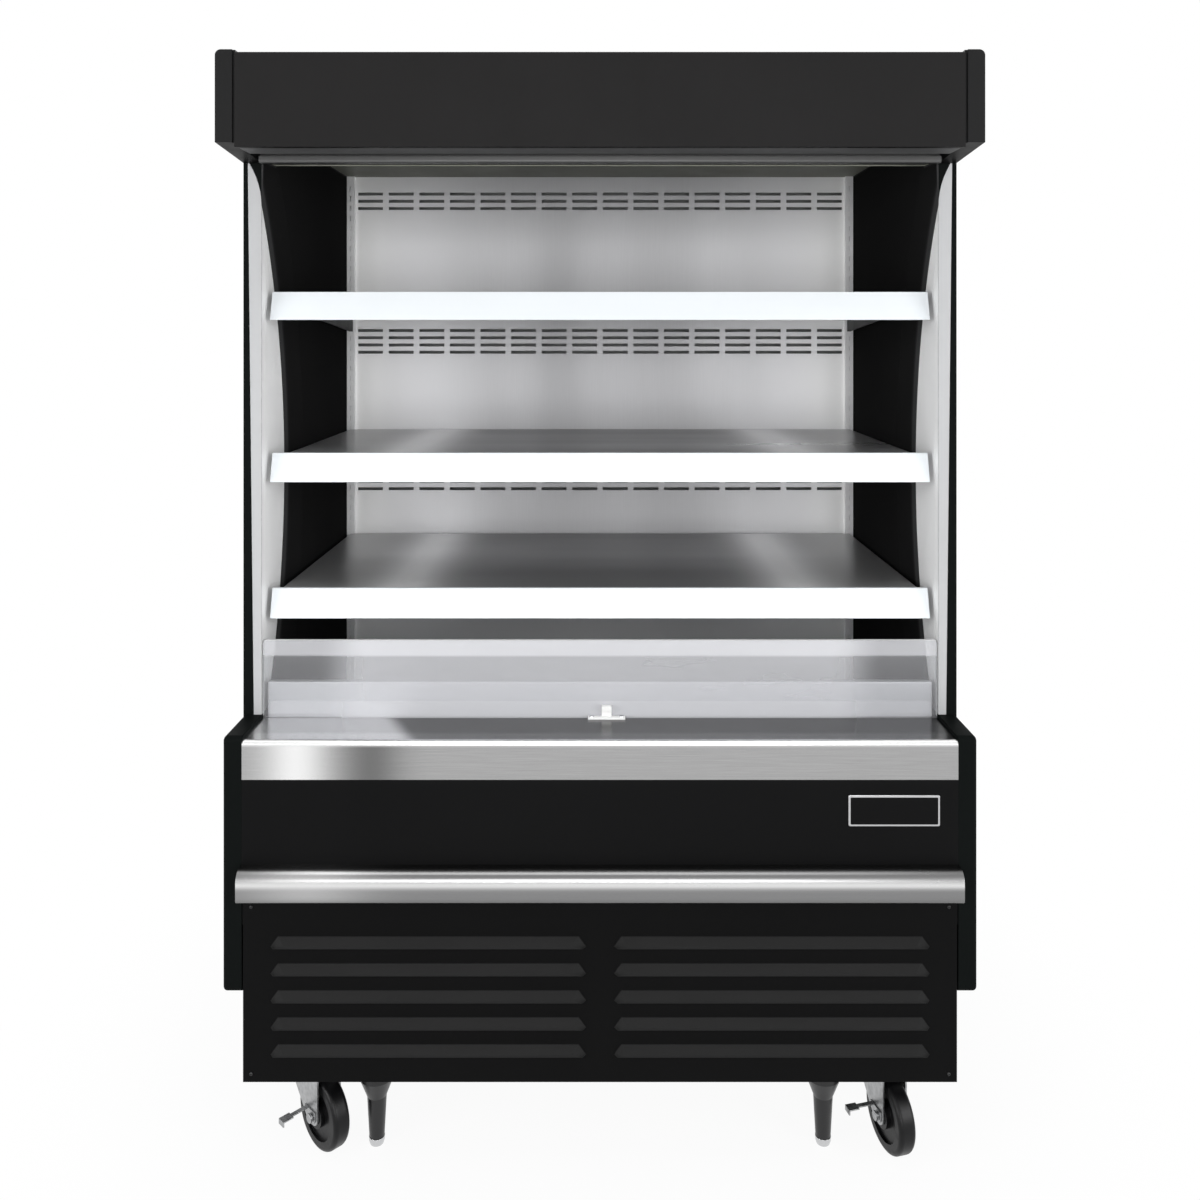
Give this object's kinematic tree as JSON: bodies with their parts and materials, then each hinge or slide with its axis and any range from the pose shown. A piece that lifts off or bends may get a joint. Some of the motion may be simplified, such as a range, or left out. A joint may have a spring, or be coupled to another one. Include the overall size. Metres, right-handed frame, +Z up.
{
  "type": "open multideck display fridge",
  "caption": "Open-front upright chiller with lit canopy, night curtain, shelves with ticket rails, riser glass, louvred base, refrigeration unit, swivel casters and screw feet.",
  "frame": {"origin": "middle of the footprint, on the floor: the bottom centre of the bounding box", "axes": "+X to the right as seen from the front, +Y from the open front to the back, +Z up"},
  "size_m": [1.302, 0.892, 1.931],
  "materials": {
    "black_cladding": "satin",
    "black_enamel": "satin",
    "black_liner": "matte",
    "bumper_aluminium": "satin",
    "catch_white": "gloss",
    "ceiling_grey": "satin",
    "coil_aluminium": "satin",
    "compressor_black": "gloss",
    "control_black": "matte",
    "copper": "satin",
    "curtain_aluminium": "satin",
    "curtain_cloth": "matte",
    "fan_black": "matte",
    "foam_panel": "matte",
    "foot_chrome": "polished",
    "galvanised": "matte",
    "gland_black": "matte",
    "grille_plastic": "matte",
    "lamp_diffuser": "satin",
    "leg_black": "satin",
    "pan_grey": "matte",
    "rail_white": "satin",
    "riser_glass": "gloss",
    "stainless_back": "satin",
    "stainless_deck": "satin",
    "stainless_shelf": "satin",
    "stainless_sill": "satin",
    "switch_green": "gloss",
    "upright_steel": "satin",
    "wheel_rubber": "satin",
    "white_facing": "gloss",
    "zinc_plate": "satin"
  },
  "bodies": {
    "cabinet": {"base_frame": "black_enamel", "machine_cover": "black_enamel", "insulated_tub": "foam_panel", "rear_panel": "foam_panel", "roof_panel": "foam_panel", "end_panels": "black_cladding", "edge_facings": "white_facing", "side_liners": "black_liner", "canopy_fascia": "black_enamel", "canopy_caps": "black_cladding", "ceiling_liner": "ceiling_grey", "lamp_tray": "ceiling_grey", "canopy_lamp": "lamp_diffuser", "air_discharge_grille": "grille_plastic", "rear_duct_panel": "stainless_back", "shelf_uprights": "upright_steel", "upper_shelf": "stainless_shelf", "middle_shelf": "stainless_shelf", "lower_shelf": "stainless_shelf", "shelf_brackets": "upright_steel", "ticket_rails": "rail_white", "deck_pan": "stainless_deck", "return_air_grille": "stainless_deck", "riser_glass": "riser_glass", "curtain_catch": "catch_white", "sill": "stainless_sill", "front_panel": "black_enamel", "bumper_rail": "bumper_aluminium", "lower_grille_panel": "black_enamel", "evaporator_coil": "coil_aluminium", "fan_deck": "galvanised", "compressor": "compressor_black", "condenser_coil": "coil_aluminium", "condenser_fan_shroud": "galvanised", "condensate_pan": "pan_grey", "refrigerant_pipes": "copper", "control_box": "control_black", "cord_gland": "gland_black", "caster_plates": "zinc_plate", "leg_tubes": "leg_black"},
    "front_left_caster": {"front_left_caster_fork": "zinc_plate"},
    "front_left_caster_wheel": {"front_left_wheel": "wheel_rubber"},
    "left_brake": {"front_left_brake_lever": "zinc_plate"},
    "front_left_leveler": {"front_left_foot": "foot_chrome"},
    "front_right_caster": {"front_right_caster_fork": "zinc_plate"},
    "front_right_caster_wheel": {"front_right_wheel": "wheel_rubber"},
    "right_brake": {"front_right_brake_lever": "zinc_plate"},
    "front_right_leveler": {"front_right_foot": "foot_chrome"},
    "rear_left_caster": {"rear_left_caster_fork": "zinc_plate"},
    "rear_left_caster_wheel": {"rear_left_wheel": "wheel_rubber"},
    "rear_left_leveler": {"rear_left_foot": "foot_chrome"},
    "rear_right_caster": {"rear_right_caster_fork": "zinc_plate"},
    "rear_right_caster_wheel": {"rear_right_wheel": "wheel_rubber"},
    "rear_right_leveler": {"rear_right_foot": "foot_chrome"},
    "left_fan_rotor": {"left_evaporator_fan": "fan_black"},
    "right_fan_rotor": {"right_evaporator_fan": "fan_black"},
    "condenser_fan_rotor": {"condenser_fan": "fan_black"},
    "curtain_bar": {"curtain_pull_bar": "curtain_aluminium"},
    "curtain_roll": {"curtain_roller": "curtain_cloth"},
    "switch_rocker": {"power_switch": "switch_green"}
  },
  "joints": [
    {"name": "front_left_swivel", "type": "hinge", "parent": "cabinet", "child": "front_left_caster", "pos_m": [-0.511, -0.321, 0.138], "axis": [0, 0, 1], "continuous": true},
    {"name": "front_left_wheel_roll", "type": "hinge", "parent": "front_left_caster", "child": "front_left_caster_wheel", "pos_m": [-0.49262, -0.33938, 0.0625], "axis": [0.7071, 0.7071, 0], "continuous": true},
    {"name": "left_brake_press", "type": "hinge", "parent": "front_left_caster", "child": "left_brake", "pos_m": [-0.49262, -0.33938, 0.0625], "axis": [-0.7071, -0.7071, 0], "range_deg": [0, 18]},
    {"name": "front_left_foot_level", "type": "slide", "parent": "cabinet", "child": "front_left_leveler", "axis": [0, 0, -1], "range_m": [0, 0.025]},
    {"name": "front_right_swivel", "type": "hinge", "parent": "cabinet", "child": "front_right_caster", "pos_m": [0.511, -0.321, 0.138], "axis": [0, 0, 1], "continuous": true},
    {"name": "front_right_wheel_roll", "type": "hinge", "parent": "front_right_caster", "child": "front_right_caster_wheel", "pos_m": [0.51773, -0.34611, 0.0625], "axis": [0.9659, 0.2588, 0], "continuous": true},
    {"name": "right_brake_press", "type": "hinge", "parent": "front_right_caster", "child": "right_brake", "pos_m": [0.51773, -0.34611, 0.0625], "axis": [-0.9659, -0.2588, 0], "range_deg": [0, 18]},
    {"name": "front_right_foot_level", "type": "slide", "parent": "cabinet", "child": "front_right_leveler", "axis": [0, 0, -1], "range_m": [0, 0.025]},
    {"name": "rear_left_swivel", "type": "hinge", "parent": "cabinet", "child": "rear_left_caster", "pos_m": [-0.511, 0.358, 0.138], "axis": [0, 0, 1], "continuous": true},
    {"name": "rear_left_wheel_roll", "type": "hinge", "parent": "rear_left_caster", "child": "rear_left_caster_wheel", "pos_m": [-0.49262, 0.33962, 0.0625], "axis": [0.7071, 0.7071, 0], "continuous": true},
    {"name": "rear_left_foot_level", "type": "slide", "parent": "cabinet", "child": "rear_left_leveler", "axis": [0, 0, -1], "range_m": [0, 0.025]},
    {"name": "rear_right_swivel", "type": "hinge", "parent": "cabinet", "child": "rear_right_caster", "pos_m": [0.511, 0.358, 0.138], "axis": [0, 0, 1], "continuous": true},
    {"name": "rear_right_wheel_roll", "type": "hinge", "parent": "rear_right_caster", "child": "rear_right_caster_wheel", "pos_m": [0.51773, 0.33289, 0.0625], "axis": [0.9659, 0.2588, 0], "continuous": true},
    {"name": "rear_right_foot_level", "type": "slide", "parent": "cabinet", "child": "rear_right_leveler", "axis": [0, 0, -1], "range_m": [0, 0.025]},
    {"name": "left_evaporator_fan_spin", "type": "hinge", "parent": "cabinet", "child": "left_fan_rotor", "pos_m": [-0.27, -0.118, 0.5375], "axis": [0, 1, 0], "continuous": true},
    {"name": "right_evaporator_fan_spin", "type": "hinge", "parent": "cabinet", "child": "right_fan_rotor", "pos_m": [0.27, -0.118, 0.5375], "axis": [0, 1, 0], "continuous": true},
    {"name": "condenser_fan_spin", "type": "hinge", "parent": "cabinet", "child": "condenser_fan_rotor", "pos_m": [-0.3, -0.252, 0.274], "axis": [0, 1, 0], "continuous": true},
    {"name": "curtain_pull", "type": "slide", "parent": "cabinet", "child": "curtain_bar", "axis": [0, 0, -1], "range_m": [0, 0.98], "stiffness_N_per_m": 10, "springref_m": -1.5},
    {"name": "curtain_roll_turn", "type": "hinge", "parent": "cabinet", "child": "curtain_roll", "pos_m": [0, -0.312, 1.838], "axis": [1, 0, 0], "range_deg": [0, 2560]},
    {"name": "power_switch_rock", "type": "hinge", "parent": "cabinet", "child": "switch_rocker", "pos_m": [0.502, 0.417, 0.347], "axis": [1, 0, 0], "range_deg": [0, 18]}
  ],
  "couplings": [
    {"joint": "curtain_roll_turn", "follows": "curtain_pull", "rad_per_m": 45.455}
  ]
}
